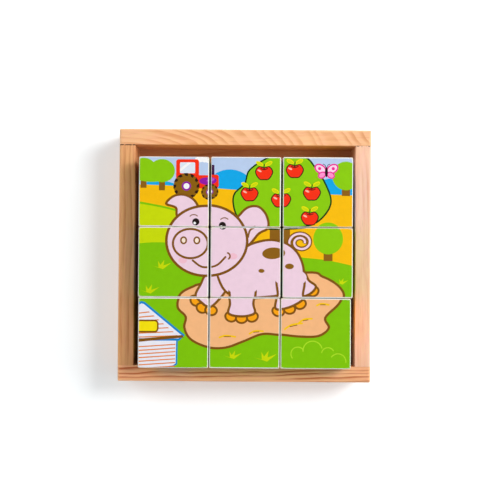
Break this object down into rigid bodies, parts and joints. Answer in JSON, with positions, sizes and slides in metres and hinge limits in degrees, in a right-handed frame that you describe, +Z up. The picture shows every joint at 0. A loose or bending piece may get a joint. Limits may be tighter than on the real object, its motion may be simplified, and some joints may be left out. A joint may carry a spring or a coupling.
{
  "type": "picture block puzzle",
  "caption": "Wooden picture cubes in a square block, each face with a printed label, in an open pine tray with a finger gap behind them.",
  "frame": {"origin": "middle of the tray's underside, on the surface the tray stands on", "axes": "+Z up out of the open tray, +Y towards the back rail where the finger gap is, +X to the right along the back rail"},
  "size_m": [0.129, 0.129, 0.038],
  "materials": {
    "pine": "planed pine, long grain, thin satin lacquer",
    "base_wood": "thin plywood, sanded",
    "block_wood": "sanded light wood, eased edges",
    "printed_paper": "glossy coated paper with a printed picture and a white border",
    "steel": "bright drawn wire"
  },
  "bodies": {
    "tray": {"back_rail": "pine", "front_rail": "pine", "left_rail": "pine", "right_rail": "pine", "base_panel": "base_wood", "corner_brads": "steel", "base_brads": "steel"},
    "cube_front_left": {"cube_front_left_block": "block_wood", "cube_front_left_top_label": "printed_paper", "cube_front_left_other_labels": "printed_paper"},
    "cube_front_middle": {"cube_front_middle_block": "block_wood", "cube_front_middle_top_label": "printed_paper", "cube_front_middle_other_labels": "printed_paper"},
    "cube_front_right": {"cube_front_right_block": "block_wood", "cube_front_right_top_label": "printed_paper", "cube_front_right_other_labels": "printed_paper"},
    "cube_middle_left": {"cube_middle_left_block": "block_wood", "cube_middle_left_top_label": "printed_paper", "cube_middle_left_other_labels": "printed_paper"},
    "cube_middle_middle": {"cube_middle_middle_block": "block_wood", "cube_middle_middle_top_label": "printed_paper", "cube_middle_middle_other_labels": "printed_paper"},
    "cube_middle_right": {"cube_middle_right_block": "block_wood", "cube_middle_right_top_label": "printed_paper", "cube_middle_right_other_labels": "printed_paper"},
    "cube_back_left": {"cube_back_left_block": "block_wood", "cube_back_left_top_label": "printed_paper", "cube_back_left_other_labels": "printed_paper"},
    "cube_back_middle": {"cube_back_middle_block": "block_wood", "cube_back_middle_top_label": "printed_paper", "cube_back_middle_other_labels": "printed_paper"},
    "cube_back_right": {"cube_back_right_block": "block_wood", "cube_back_right_top_label": "printed_paper", "cube_back_right_other_labels": "printed_paper"}
  },
  "joints": [
    {"name": "lift_front_left", "type": "slide", "parent": "tray", "child": "cube_front_left", "axis": [0, 0, 1], "range_m": [0, 0.04]},
    {"name": "lift_front_middle", "type": "slide", "parent": "tray", "child": "cube_front_middle", "axis": [0, 0, 1], "range_m": [0, 0.04]},
    {"name": "lift_front_right", "type": "slide", "parent": "tray", "child": "cube_front_right", "axis": [0, 0, 1], "range_m": [0, 0.04]},
    {"name": "lift_middle_left", "type": "slide", "parent": "tray", "child": "cube_middle_left", "axis": [0, 0, 1], "range_m": [0, 0.04]},
    {"name": "lift_middle_middle", "type": "slide", "parent": "tray", "child": "cube_middle_middle", "axis": [0, 0, 1], "range_m": [0, 0.04]},
    {"name": "lift_middle_right", "type": "slide", "parent": "tray", "child": "cube_middle_right", "axis": [0, 0, 1], "range_m": [0, 0.04]},
    {"name": "lift_back_left", "type": "slide", "parent": "tray", "child": "cube_back_left", "axis": [0, 0, 1], "range_m": [0, 0.04]},
    {"name": "lift_back_middle", "type": "slide", "parent": "tray", "child": "cube_back_middle", "axis": [0, 0, 1], "range_m": [0, 0.04]},
    {"name": "lift_back_right", "type": "slide", "parent": "tray", "child": "cube_back_right", "axis": [0, 0, 1], "range_m": [0, 0.04]}
  ]
}
